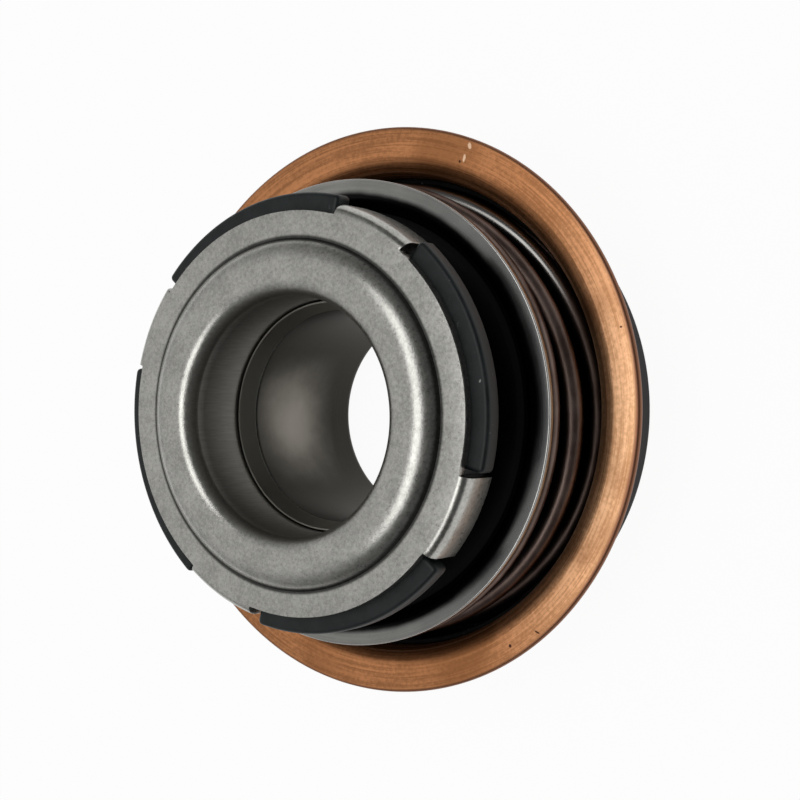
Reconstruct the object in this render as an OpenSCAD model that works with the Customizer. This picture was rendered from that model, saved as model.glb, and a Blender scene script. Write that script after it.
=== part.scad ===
// Unitized mechanical seal for a coolant pump: a flanged case, a spring loaded
// carbon face, and a mating ring carried on the shaft by a pressed sleeve.
// Millimetres. +Z runs from the case's rear face towards the front collar.

/* [Shaft sleeve] */
// Bore of the sleeve, pressed on the shaft
shaft_d = 15.9; // [12:0.1:19]
// Wall of the sleeve
sleeve_wall = 0.75; // [0.5:0.05:1]
// How far the sleeve's front end lies behind the collar's flat face
sleeve_recess = 4.85; // [3:0.05:6]
// How far the rear flare stands out past the sleeve's outside
flare_w = 1.4; // [0.9:0.1:1.8]
// Height of the flare's rear face above the case's rear face
flare_lift = 1.2; // [0.2:0.05:1.6]
// Flat left outside the rounding at the sleeve's front end
mouth_land = 0.25; // [0.1:0.05:0.4]
// Depth of the rounding inside the sleeve's front end
mouth_depth = 0.9; // [0.2:0.05:1.2]

/* [Drive collar] */
// Sheet of the collar
collar_sheet = 0.8; // [0.6:0.05:1]
// From the collar's bore to the foot of its bead
bead_w = 4.03; // [3.6:0.05:5]
// Height of the bead above the flat ring
bead_h = 1.09; // [0.8:0.05:1.3]
// Slope of the bead's outer side at its foot
bead_slope = 50; // [40:1:60]
// Outside radius of the rolled lip at the bore
lip_r = 1.1; // [1:0.05:1.3]
// Length of the collar's skirt behind the flat face
skirt_len = 7.35; // [6.2:0.05:8]
// Flat ring from the bead's foot to the notches' edge
land_w = 1.91; // [1.6:0.05:2.6]
// How far the tabs' outside stands out past the notches' edge
tab_step = 0.76; // [0.3:0.02:1]
// Number of tabs, with a rubber lug between each two
tabs = 4; // [3:1:6]
// Angle that one tab takes
tab_angle = 24; // [16:1:30]
// Depth of the tabs behind the flat face
tab_len = 3.45; // [2.4:0.05:4]
// Outside radius of the bend between ring and tab
tab_bend = 1.1; // [0.9:0.05:1.3]

/* [Mating ring and its rubber cup] */
// Thickness of the mating ring
seat_t = 2.68; // [2:0.02:3.6]
// Chamfer on the mating ring's edges
seat_chamfer = 0.25; // [0.1:0.05:0.4]
// Rubber between the mating ring and the collar
cup_back = 0.84; // [0.5:0.02:1.2]
// Rubber around the mating ring
cup_wall = 1.15; // [0.8:0.05:1.5]
// Rubber between the mating ring and the collar's skirt
cup_lip = 0.7; // [0.5:0.05:0.9]
// Depth of the cup's outer wall behind the collar's sheet
cup_depth = 2.84; // [2.2:0.02:3.2]
// Depth of the cup's inner wall behind the collar's sheet
cup_lip_depth = 2.1; // [1.4:0.05:2.6]
// How far the lugs stand out past the notches' edge
lug_proud = 1.36; // [0.9:0.02:1.8]
// Height of the lugs
lug_h = 1.64; // [1.2:0.02:2]
// Rounding along the lugs' front edge
lug_round = 0.6; // [0.3:0.05:0.8]
// Gap between a lug's end and the tab beside it
lug_gap = 0.45; // [0.1:0.05:0.8]

/* [Carbon face ring] */
// Height of the carbon's running nose
nose_h = 2.5; // [1.6:0.05:3.2]
// Width of the running face
nose_w = 1.6; // [1:0.05:2.2]
// Thickness of the carbon's body
carbon_t = 3.5; // [2.6:0.05:4.2]
// Radial room between the carbon and the collar's skirt
carbon_clear = 0.65; // [0.4:0.05:0.9]
// Chamfer on the carbon's edges
carbon_chamfer = 0.35; // [0.1:0.05:0.5]
// How far the carbon's outside lies inside the tabs' outside
carbon_inset = 0.1; // [0:0.02:0.4]

/* [Carbon shell] */
// Sheet of the shell that holds the carbon
shell_sheet = 0.6; // [0.4:0.05:0.8]
// Inside radius of the shell's bends
shell_bend = 0.3; // [0.15:0.05:0.4]
// Width of the shell's floor under the carbon
shell_floor_w = 4.2; // [3:0.1:4.6]
// How far the carbon's body lies below the shell's front face
carbon_sink = 0.1; // [0:0.05:0.3]

/* [Spring] */
// Wire of the spring
wire_d = 1.5; // [1:0.05:1.7]
// Length of the spring between its seats
spring_len = 12.7; // [11:0.1:15]
// Air between the last free coil and the closed rear coil
closing_gap = 1.7; // [0.4:0.05:2.4]
// Angle where the wire leaves the closed front coil
coil_start = 65; // [0:0.25:360]
// Radial room between the shell and the coils
coil_clear = 0.15; // [0.05:0.05:0.4]

/* [Rubber bellows] */
// Rubber lining of the case's wall
liner_wall = 0.45; // [0.3:0.05:0.7]
// How far the lining's rim lies below the flange's front face
liner_drop = 2.4; // [1.4:0.05:4]
// Rubber under the spring
boot_floor = 0.6; // [0.4:0.05:0.9]
// Wall of the bellows
bellows_wall = 0.8; // [0.5:0.05:1]
// Depth of the bellows' fold
fold_w = 2.3; // [1.4:0.05:2.6]
// Radial room between the spring and the lining
liner_clear = 0.45; // [0.3:0.05:0.7]

/* [Case] */
// Height of the flange's front face above the case's rear face
case_depth = 9.3; // [7.5:0.05:11]
// Sheet of the case
case_sheet = 0.6; // [0.4:0.05:0.9]
// Width of the flange past the body
flange_w = 2.95; // [2:0.05:4]
// Inside radius of the bend between body and flange
flange_bend = 1; // [0.7:0.05:1.4]
// Inside radius of the bend between body and floor
floor_bend = 0.4; // [0.3:0.05:1]
// Radial room between the sleeve and the case's hub
hub_clear = 0.6; // [0.4:0.05:1]
// Width of the raised hub around the sleeve
hub_w = 3.1; // [2.6:0.05:3.6]
// Slope of the step between hub and floor
hub_slope = 45; // [35:1:60]

/* [Hidden] */
// Clearances that the fits share: soft and loose seats, the fluid film between the faces, and the stop
fit = 0.03;
film = 0.02;
stop_gap = 0.1;
// Air between a coil and the tip of the closed coil beside it
tip_gap = 0.1;
// The knots in the spring's wire: how much wider they are, and half the angle that each one bridges
knot_rise = 0.02;
knot_angle = 0.2;
// Rise of each side of the bellows' fold, as a share of the tube's rise, and its head's bend as a share of its wall
fold_share = 0.28;
head_bend_share = 0.75;
// Points on each bend and on each rounded edge
bend_steps = 7;
$fn = 120;

// Radii, from the shaft outwards to the case's body, which is pressed in a 38.1 bore
bore_r = shaft_d / 2;
sleeve_r = bore_r + sleeve_wall;
flare_r = sleeve_r + flare_w;
hub_r = sleeve_r + hub_clear;
skirt_r = sleeve_r + collar_sheet;
foot_r = sleeve_r + bead_w;
ring_r = foot_r + land_w;
tab_r = ring_r + tab_step;
lug_r = ring_r + lug_proud;
cup_r = tab_r - collar_sheet - fit;
seat_out_r = cup_r - cup_wall;
seat_in_r = skirt_r + cup_lip;
nose_mid_r = (seat_in_r + seat_out_r) / 2;
carbon_in_r = skirt_r + carbon_clear;
carbon_r = tab_r - carbon_inset;
shell_r = carbon_r + shell_sheet;
coil_in_r = shell_r + coil_clear;
coil_r = coil_in_r + wire_d / 2;
coil_out_r = coil_in_r + wire_d;
liner_in_r = coil_out_r + liner_clear;
case_in_r = liner_in_r + liner_wall;
case_r = case_in_r + case_sheet;
flange_r = case_r + flange_w;

// Heights, from the case's rear face to the front
seat_z = case_sheet + boot_floor;
shell_back_z = seat_z + spring_len;
shell_z = shell_back_z + shell_sheet;
carbon_z = shell_z - carbon_sink;
carbon_back_z = carbon_z - carbon_t;
shell_floor_z = carbon_back_z - shell_sheet;
face_z = carbon_z + nose_h;
seat_ring_z = face_z + film;
cup_floor_z = seat_ring_z + seat_t;
cup_z = cup_floor_z + cup_back;
ring_z = cup_z + collar_sheet;
crown_z = ring_z + bead_h;
sleeve_z = ring_z - sleeve_recess;
hub_z = flare_lift + sleeve_wall + stop_gap;
hub_top_z = hub_z + case_sheet;
flange_z = case_depth;

// Points on an arc about [r, z] from angle a to angle b
function arc(r, z, radius, a, b) =
    [for (i = [0:bend_steps]) let (t = a + (b - a) * i / bend_steps) [r + radius * cos(t), z + radius * sin(t)]];

function unit(v) = v / norm(v);

// The difference of two angles, between -180 and 180
function turn(a, b) = let (d = b - a) d > 180 ? d - 360 : d < -180 ? d + 360 : d;

// A bend of the given radius in place of the corner p between a and b
function bend(a, p, b, radius) =
    let (
        u = unit(a - p),
        v = unit(b - p),
        half = acos(u * v) / 2,
        c = p + unit(u + v) * radius / sin(half),
        s = p + u * radius / tan(half) - c,
        e = p + v * radius / tan(half) - c,
        a0 = atan2(s[1], s[0]),
        sweep = turn(a0, atan2(e[1], e[0]))
    )
    arc(c[0], c[1], radius, a0, a0 + sweep);

// A centre line with each inner corner bent to its own radius
function bent(path, radii) =
    [for (i = [0:len(path) - 1])
        each i == 0 || i == len(path) - 1 ? [path[i]] : bend(path[i - 1], path[i], path[i + 1], radii[i - 1])];

function normal(a, b) = let (u = unit(b - a)) [-u[1], u[0]];

// A line moved sideways by d, with mitred corners
function beside(path, d) =
    let (last = len(path) - 1)
    [for (i = [0:last])
        let (
            n = normal(path[max(i - 1, 0)], path[max(i, 1)]),
            m = normal(path[min(i, last - 1)], path[min(i + 1, last)])
        )
        path[i] + (n + m) * d / (1 + n * m)];

function reversed(list) = [for (i = [len(list) - 1:-1:0]) list[i]];

// The outline of sheet of thickness t along a centre line
function sheet(path, t) = concat(beside(path, t / 2), reversed(beside(path, -t / 2)));

// A ring's outline between two radii and two heights, with chamfers c on all four edges
function ring_outline(r0, r1, z0, z1, c) = [
    [r0 + c, z0], [r1 - c, z0], [r1, z0 + c], [r1, z1 - c],
    [r1 - c, z1], [r0 + c, z1], [r0, z1 - c], [r0, z0 + c],
];

// Corners of the case's centre line, from the wall's foot in to the hub's edge
function case_foot() =
    let (low = case_sheet / 2, high = hub_z + case_sheet / 2, step_r = hub_r + hub_w)
    [[case_r - low, low], [step_r + (high - low) / tan(hub_slope), low], [step_r, high], [hub_r, high]];

// One sector for each tab or lug, from the tab's middle on +X
module around(start) {
    for (i = [0:tabs - 1])
        rotate([0, 0, start + i * 360 / tabs])
            children();
}

// Stamped collar: skirt, rolled lip, domed bead, flat ring, and tabs bent back over the rubber cup
module drive_collar() {
    t = collar_sheet;
    dome_r = bead_h / (1 - cos(bead_slope));
    dome_in = foot_r - dome_r * sin(bead_slope);
    dome_z = crown_z - dome_r;
    ring_mid_z = ring_z - t / 2;
    foot_a = asin((ring_mid_z - dome_z) / (dome_r - t / 2));
    line = concat(
        [[sleeve_r + t / 2, ring_z - skirt_len]],
        arc(sleeve_r + lip_r, crown_z - lip_r, lip_r - t / 2, 180, 90),
        arc(dome_in, dome_z, dome_r - t / 2, 90, foot_a),
        [[ring_r, ring_mid_z]]
    );
    tab_mid_r = tab_r - t / 2;
    tab_line = bent(
        [[foot_r + t, ring_mid_z], [tab_mid_r, ring_mid_z], [tab_mid_r, ring_z - tab_len]],
        [tab_bend - t / 2]
    );
    color("silver") {
        rotate_extrude()
            polygon(sheet(line, t));
        around(-tab_angle / 2)
            rotate_extrude(angle = tab_angle)
                polygon(sheet(tab_line, t));
    }
}

// Sleeve pressed in the collar's skirt, flared behind the case's hub so that the seal stays together
module shaft_sleeve() {
    t = sleeve_wall;
    mouth_w = t - mouth_land;
    line = bent(
        [[sleeve_r - t / 2, sleeve_z], [sleeve_r - t / 2, flare_lift + t / 2], [flare_r, flare_lift + t / 2]],
        [t]
    );
    outer = beside(line, t / 2);
    inner = beside(line, -t / 2);
    tail_out = [for (i = [1:len(outer) - 1]) outer[i]];
    tail_in = [for (i = [len(inner) - 1:-1:1]) inner[i]];
    mouth = concat(
        [for (i = [0:bend_steps])
            let (a = 90 * i / bend_steps)
            [bore_r + mouth_w * (1 - cos(a)), sleeve_z - mouth_depth * (1 - sin(a))]],
        [[sleeve_r - mouth_land / 2, sleeve_z], [sleeve_r, sleeve_z - mouth_land / 2]]
    );
    color("lightsteelblue")
        rotate_extrude()
            polygon(concat(mouth, tail_out, tail_in));
}

// Rubber cup that holds the mating ring and drives it: a lug fills each notch between two tabs
module seat_cup() {
    root_r = (seat_out_r + cup_r) / 2;
    gap_angle = lug_gap / lug_r * 180 / PI;
    lug_angle = 360 / tabs - tab_angle - 2 * gap_angle;
    outer_z = cup_z - cup_depth;
    inner_z = cup_z - cup_lip_depth;
    corner = tab_bend - collar_sheet + fit;
    color("darkslategray") {
        rotate_extrude()
            polygon(concat(
                [
                    [skirt_r + fit, cup_z], [skirt_r + fit, inner_z], [seat_in_r, inner_z],
                    [seat_in_r, cup_floor_z], [seat_out_r, cup_floor_z], [seat_out_r, outer_z], [cup_r, outer_z],
                ],
                arc(cup_r - corner, cup_z - corner, corner, 0, 90)
            ));
        around(tab_angle / 2 + gap_angle)
            rotate_extrude(angle = lug_angle)
                polygon(concat(
                    [[root_r, cup_z], [root_r, cup_z - lug_h], [lug_r, cup_z - lug_h]],
                    arc(lug_r - lug_round, cup_z - lug_round, lug_round, 0, 90)
                ));
    }
}

// Mating ring in its cup
module seat_ring() {
    color("dimgray")
        rotate_extrude()
            polygon(ring_outline(seat_in_r, seat_out_r, seat_ring_z, cup_floor_z, seat_chamfer));
}

// Carbon ring: a body pressed in its shell, and the narrow nose that runs on the mating ring
module carbon_ring() {
    c = carbon_chamfer;
    nose_in = nose_mid_r - nose_w / 2;
    nose_out = nose_mid_r + nose_w / 2;
    color("black")
        rotate_extrude()
            polygon([
                [carbon_in_r, carbon_back_z + c], [carbon_in_r + c, carbon_back_z],
                [carbon_r - shell_bend, carbon_back_z], [carbon_r, carbon_back_z + shell_bend],
                [carbon_r, carbon_z - c], [carbon_r - c, carbon_z],
                [nose_out + c, carbon_z], [nose_out, carbon_z + c],
                [nose_out, face_z - c / 2], [nose_out - c / 2, face_z],
                [nose_in + c / 2, face_z], [nose_in, face_z - c / 2],
                [nose_in, carbon_z + c], [nose_in - c, carbon_z],
                [carbon_in_r, carbon_z],
            ]);
}

// Stamped shell around the carbon: its rim bears on the spring and its floor carries the bellows' head
module ring_shell() {
    t = shell_sheet;
    line = bent(
        [
            [coil_out_r, shell_z - t / 2],
            [carbon_r + t / 2, shell_z - t / 2],
            [carbon_r + t / 2, shell_floor_z + t / 2],
            [carbon_r - shell_floor_w, shell_floor_z + t / 2],
        ],
        [shell_bend + t / 2, shell_bend + t / 2]
    );
    color("gainsboro")
        rotate_extrude()
            polygon(sheet(line, t));
}

// Wire along part of a level circle about the axis
module wire_arc(radius, start, sweep) {
    rotate_extrude(angle = sweep, start = start)
        translate([radius, 0])
            circle(d = wire_d);
}

// Half a turn of wire on -Y's side, which sinks by drop on its way from +X to -X
module sinking_half(drop) {
    lean = atan(drop / (2 * coil_r));
    translate([0, 0, -drop / 2])
        rotate([0, -lean, 0])
            wire_arc(coil_r / cos(lean), 180 + knot_angle, 180 - 2 * knot_angle);
}

// Spring: a closed coil at each end, and free coils whose half turns alternate between level and sinking.
// A knot, a hair wider than the wire, joins each half turn to the next.
module spring() {
    height = spring_len - wire_d - 2 * fit;
    closing = wire_d + closing_gap;
    pitch = (height - closing) / 2;
    levels = [0, pitch, 2 * pitch, height];
    clear = wire_d + tip_gap;
    front_free = acos(1 - 2 * clear / pitch);
    rear_free = acos(2 * clear / closing - 1);
    starts = [knot_angle, knot_angle, knot_angle, -rear_free];
    ends = [360 - front_free, 180 - knot_angle, 180 - knot_angle, 180 - knot_angle];
    color("slategray")
        rotate([0, 0, coil_start])
            translate([0, 0, seat_z + fit + wire_d / 2 + height]) {
                for (i = [0:3])
                    translate([0, 0, -levels[i]])
                        wire_arc(coil_r, starts[i], ends[i] - starts[i]);
                for (i = [0:2]) {
                    translate([0, 0, -levels[i]])
                        sinking_half(levels[i + 1] - levels[i]);
                    for (at = [[coil_r, 0, -levels[i]], [-coil_r, 0, -levels[i + 1]]])
                        translate(at)
                            sphere(d = wire_d + knot_rise);
                }
            }
}

// Rubber bellows: lining of the case, seat for the spring, and the folded tube up to the carbon's shell
module bellows() {
    t = bellows_wall;
    foot = case_foot();
    rim_z = flange_z - liner_drop;
    inner_r = hub_r + fit + t / 2;
    below = bent(
        [[foot[0][0], rim_z], foot[0], foot[1], foot[2], [inner_r, foot[3][1]]],
        [floor_bend + case_sheet / 2, case_sheet, case_sheet]
    );
    above = beside([foot[0], foot[1], foot[2], [inner_r, foot[3][1]]], -boot_floor - case_sheet / 2);
    head_z = shell_floor_z - fit;
    tail_top_z = hub_top_z + boot_floor;
    rise = head_z - tail_top_z;
    leg = rise * fold_share;
    neck_r = hub_r + fit + t;
    fold_r = neck_r + fold_w;
    mid_z = (tail_top_z + head_z) / 2;
    head_in_r = carbon_r - shell_floor_w + shell_sheet;
    tube = bent(
        [
            [neck_r, hub_top_z + fit],
            [neck_r, mid_z - leg],
            [fold_r, mid_z],
            [neck_r + t, mid_z + leg],
            [max(head_in_r, neck_r + t) + fit, head_z - t / 2],
            [carbon_r, head_z - t / 2],
        ],
        [t, t, t, t * head_bend_share]
    );
    color("dimgray")
        rotate_extrude() {
            polygon(concat(
                beside(below, -fit - case_sheet / 2),
                [above[3], above[2], above[1]],
                [[liner_in_r, seat_z], [liner_in_r, rim_z]]
            ));
            polygon(sheet(tube, t));
        }
}

// Case: a drawn cup with an outward flange, and a hub raised over the sleeve's flare
module case() {
    t = case_sheet;
    line = bent(
        concat([[flange_r, flange_z - t / 2], [case_r - t / 2, flange_z - t / 2]], case_foot()),
        [flange_bend + t / 2, floor_bend + t / 2, t, t]
    );
    color("peru")
        rotate_extrude()
            polygon(sheet(line, t));
}

drive_collar();
shaft_sleeve();
seat_cup();
seat_ring();
carbon_ring();
ring_shell();
spring();
bellows();
case();
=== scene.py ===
"""Looks of a coolant pump's unitized shaft seal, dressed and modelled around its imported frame."""

import logging
import math
from dataclasses import dataclass
from enum import Enum
from typing import Optional, Sequence, Union

import bmesh
import bpy
from mathutils import Matrix, Vector


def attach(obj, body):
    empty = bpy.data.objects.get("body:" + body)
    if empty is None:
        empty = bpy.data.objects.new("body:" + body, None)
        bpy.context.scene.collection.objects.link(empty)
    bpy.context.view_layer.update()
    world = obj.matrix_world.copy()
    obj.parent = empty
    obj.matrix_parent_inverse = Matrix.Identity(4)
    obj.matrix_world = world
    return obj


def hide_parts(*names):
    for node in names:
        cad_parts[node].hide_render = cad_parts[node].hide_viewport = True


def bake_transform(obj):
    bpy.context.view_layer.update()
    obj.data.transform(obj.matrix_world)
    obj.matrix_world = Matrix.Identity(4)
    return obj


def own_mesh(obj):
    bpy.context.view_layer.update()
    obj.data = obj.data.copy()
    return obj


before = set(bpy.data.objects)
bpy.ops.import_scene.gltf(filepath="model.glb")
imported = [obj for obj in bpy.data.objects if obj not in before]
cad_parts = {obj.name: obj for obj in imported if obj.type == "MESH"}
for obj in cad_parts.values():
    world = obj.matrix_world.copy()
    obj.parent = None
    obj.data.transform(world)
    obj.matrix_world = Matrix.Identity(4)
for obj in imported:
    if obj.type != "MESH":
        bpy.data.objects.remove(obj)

log = logging.getLogger("pump_seal")

MM = 0.001
ORIGIN = (0.0, 0.0, 0.0)
UP = (0.0, 0.0, 1.0)
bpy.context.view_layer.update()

Colour = tuple[float, float, float]
Point = tuple[float, float]


class Body(Enum):
    """The rigid bodies of the seal."""

    HOUSING = "housing"
    FACE = "face"
    ROTOR = "rotor"


class Owner(Enum):
    """What a node tree belongs to, as in the name of its output node."""

    MATERIAL = "Material"
    WORLD = "World"


class Signal:
    """A socket of a shader graph that takes part in Python expressions."""

    def __init__(self, graph: "Graph", socket: bpy.types.NodeSocket) -> None:
        """Wraps a socket.

        Args:
            graph: The graph that owns the socket.
            socket: The output socket that carries the value.
        """
        self.graph = graph
        self.socket = socket

    def _math(self, operation: str, first: "Value", second: "Value") -> "Signal":
        """Adds one Math node.

        Args:
            operation: Blender's name of the operation.
            first: The left operand.
            second: The right operand.

        Returns:
            The node's result.
        """
        return self.graph.node("ShaderNodeMath", {"operation": operation}, {0: first, 1: second})

    def __add__(self, other: "Value") -> "Signal":
        """Sum."""
        return self._math("ADD", self, other)

    def __radd__(self, other: "Value") -> "Signal":
        """Sum with a number on the left."""
        return self._math("ADD", other, self)

    def __sub__(self, other: "Value") -> "Signal":
        """Difference."""
        return self._math("SUBTRACT", self, other)

    def __rsub__(self, other: "Value") -> "Signal":
        """Difference from a number."""
        return self._math("SUBTRACT", other, self)

    def __mul__(self, other: "Value") -> "Signal":
        """Product."""
        return self._math("MULTIPLY", self, other)

    def __rmul__(self, other: "Value") -> "Signal":
        """Product with a number on the left."""
        return self._math("MULTIPLY", other, self)

    def __truediv__(self, other: "Value") -> "Signal":
        """Quotient."""
        return self._math("DIVIDE", self, other)

    def __abs__(self) -> "Signal":
        """Size without sign."""
        return self._math("ABSOLUTE", self, 0.0)

    def __or__(self, other: "Value") -> "Signal":
        """The larger of two values."""
        return self._math("MAXIMUM", self, other)


Value = Union[Signal, float, int, Sequence[float]]


class Graph:
    """A material's or world's node tree, with the few building blocks that the finishes share."""

    def __init__(self, name: str, kind: Owner = Owner.MATERIAL) -> None:
        """Starts an empty material or world.

        Args:
            name: Its name.
            kind: Which of the two.
        """
        self.kind = kind
        shelf = bpy.data.worlds if kind is Owner.WORLD else bpy.data.materials
        self.owner = shelf.new(name)
        self.owner.use_nodes = True
        self.tree = self.owner.node_tree
        self.tree.nodes.clear()

    def node(
        self,
        kind: str,
        settings: Optional[dict[str, object]] = None,
        inputs: Optional[dict[Union[str, int], Value]] = None,
        output: Union[str, int] = 0,
    ) -> Signal:
        """Adds any node.

        Args:
            kind: Blender's type name of the node.
            settings: Properties to set first. "stops" holds a ramp's places and greys.
            inputs: Values or signals for the sockets, by index, name or identifier.
            output: The wanted output, by index, name or identifier.

        Returns:
            The chosen output.
        """
        made = self.tree.nodes.new(kind)
        for name, value in (settings or {}).items():
            if name == "stops":
                self._set_stops(made.color_ramp, value)
            else:
                setattr(made, name, value)
        for key, value in (inputs or {}).items():
            socket = self._socket(made.inputs, key)
            if isinstance(value, Signal):
                self.tree.links.new(value.socket, socket)
            elif socket.type == "RGBA" and len(value) == 3:
                socket.default_value = (*value, 1.0)
            else:
                socket.default_value = value
        return Signal(self, self._socket(made.outputs, output))

    @staticmethod
    def _set_stops(ramp: bpy.types.ColorRamp, stops: Sequence[Point]) -> None:
        """Gives a ramp its stops.

        Args:
            ramp: The ramp to change.
            stops: Places from 0 to 1 and their greys.
        """
        while len(ramp.elements) < len(stops):
            ramp.elements.new(1.0)
        for element, (place, grey) in zip(ramp.elements, stops):
            element.position = place
            element.color = (grey, grey, grey, 1.0)

    @staticmethod
    def _socket(
        sockets: Sequence[bpy.types.NodeSocket], key: Union[str, int]
    ) -> bpy.types.NodeSocket:
        """Finds a socket.

        Args:
            sockets: A node's inputs or outputs.
            key: The socket's index, identifier or name.

        Returns:
            The socket.
        """
        if isinstance(key, int):
            return sockets[key]
        by_identifier = {s.identifier: s for s in sockets}
        return by_identifier.get(key) or sockets[key]

    def mix(self, factor: Value, first: Value, second: Value) -> Signal:
        """Blends two colours.

        Args:
            factor: 0 for the first colour, 1 for the second.
            first: The first colour.
            second: The second colour.

        Returns:
            The blended colour.
        """
        sockets = {"Factor_Float": factor, "A_Color": first, "B_Color": second}
        return self.node("ShaderNodeMix", {"data_type": "RGBA"}, sockets, "Result_Color")

    def shade(self, colour: Value, by: Value) -> Signal:
        """Multiplies a colour by a number.

        Args:
            colour: The colour.
            by: 1 to keep it, less to darken it.

        Returns:
            The shaded colour.
        """
        grey = self.node("ShaderNodeCombineXYZ", inputs={0: by, 1: by, 2: by})
        return self.node("ShaderNodeVectorMath", {"operation": "MULTIPLY"}, {0: colour, 1: grey})

    def step(self, value: Value, low: float, high: float) -> Signal:
        """A soft step from 0 at low to 1 at high.

        Args:
            value: The measured value.
            low: Where the step starts.
            high: Where it ends.

        Returns:
            A mask from 0 to 1.
        """
        sockets = {"Value": value, "From Min": low, "From Max": high}
        return self.node("ShaderNodeMapRange", {"interpolation_type": "SMOOTHSTEP"}, sockets)

    def band(self, value: Signal, centre: float, half: float, soft: float) -> Signal:
        """A mask that is 1 near a value.

        Args:
            value: The measured value.
            centre: The middle of the band.
            half: Half the band's width.
            soft: Width of its soft edge.

        Returns:
            A mask from 0 to 1.
        """
        return 1.0 - self.step(abs(value - centre), half, half + soft)

    def noise(
        self, vector: Signal, scale: float, detail: float = 2.0, rough: float = 0.5
    ) -> Signal:
        """Fractal noise between about 0 and 1.

        Args:
            vector: Where it is read, in millimetres.
            scale: Cells in a millimetre.
            detail: Number of finer layers.
            rough: Weight of the finer layers.

        Returns:
            The noise's value.
        """
        sockets = {"Vector": vector, "Scale": scale, "Detail": detail, "Roughness": rough}
        return self.node("ShaderNodeTexNoise", {"noise_dimensions": "3D"}, sockets, "Fac")

    def bump(self, height: Signal) -> Signal:
        """Turns a height to a normal.

        Args:
            height: How far the skin stands out, in millimetres.

        Returns:
            The normal.
        """
        sockets = {"Strength": 1.0, "Distance": MM, "Height": height}
        return self.node("ShaderNodeBump", inputs=sockets)

    def finish(self, **sockets: Value) -> bpy.types.Material:
        """Ends the graph in one Principled shader.

        Args:
            **sockets: The shader's sockets, with _ for a space.

        Returns:
            The material.
        """
        named = {name.replace("_", " "): value for name, value in sockets.items()}
        self.show(self.node("ShaderNodeBsdfPrincipled", inputs=named))
        return self.owner

    def show(self, shader: Signal) -> None:
        """Links a shader to the surface, or to the world's own.

        Args:
            shader: The shader that the surface shows.
        """
        end = self.tree.nodes.new(f"ShaderNodeOutput{self.kind.value}")
        self.tree.links.new(shader.socket, end.inputs["Surface"])


class Place:
    """Where a point of the surface lies, in millimetres about the shaft's axis."""

    NO_ZERO = 1e-6

    def __init__(self, graph: Graph) -> None:
        """Reads the object's own coordinates.

        Args:
            graph: The material's graph.
        """
        self.graph = graph
        raw = graph.node("ShaderNodeTexCoord", output="Object")
        self.point = graph.node(
            "ShaderNodeVectorMath", {"operation": "SCALE"}, {"Vector": raw, "Scale": 1.0 / MM}
        )
        self.x, self.y, self.z = (
            graph.node("ShaderNodeSeparateXYZ", inputs={0: self.point}, output=i) for i in range(3)
        )
        flat = graph.node("ShaderNodeCombineXYZ", inputs={0: self.x, 1: self.y, 2: 0.0})
        self.r = graph.node("ShaderNodeVectorMath", {"operation": "LENGTH"}, {0: flat}, "Value")

    def turned(self, across: float, along: float) -> Signal:
        """Coordinates for streaks that run round the axis.

        Args:
            across: Stretch of radius and height.
            along: Stretch of the direction round the axis.

        Returns:
            A vector in which turned lines are short cells.
        """
        axes = {0: self.x * along, 1: self.y * along, 2: (self.r + self.z) * across}
        return self.graph.node("ShaderNodeCombineXYZ", inputs=axes)

    def away(self, degrees: float) -> Signal:
        """Angle from a direction, in degrees without sign.

        Args:
            degrees: The direction about the axis.

        Returns:
            0 in that direction and up to 180 behind it.
        """
        a = math.radians(degrees)
        along = (self.x * math.cos(a) + self.y * math.sin(a)) / (self.r + self.NO_ZERO)
        angle = self.graph.node("ShaderNodeMath", {"operation": "ARCCOSINE"}, {0: along})
        return angle * math.degrees(1.0)


@dataclass(frozen=True)
class Mark:
    """One small nick, scratch or speck, placed on the part as the photograph shows it."""

    radius: float
    angle: float
    length: float
    width: float
    turn: float = 0.0
    depth: float = 0.3

    def mask(self, at: Place, height: float) -> Signal:
        """Masks the mark.

        Args:
            at: Where the surface lies.
            height: Height of the face that the mark is on, in millimetres.

        Returns:
            1 on the mark and 0 beside it.
        """
        a = math.radians(self.angle)
        spot = (self.radius * math.cos(a), self.radius * math.sin(a), height)
        near = at.graph.node(
            "ShaderNodeMapping",
            {"vector_type": "TEXTURE"},
            {
                "Vector": at.point,
                "Location": spot,
                "Rotation": (0.0, 0.0, a + math.radians(self.turn)),
                "Scale": (self.length / 2, self.width / 2, self.depth),
            },
        )
        away = at.graph.node("ShaderNodeVectorMath", {"operation": "LENGTH"}, {0: near}, "Value")
        return 1.0 - at.graph.step(away + 0.5 * at.graph.noise(at.point, scale=6.0), 0.85, 1.25)


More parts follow.
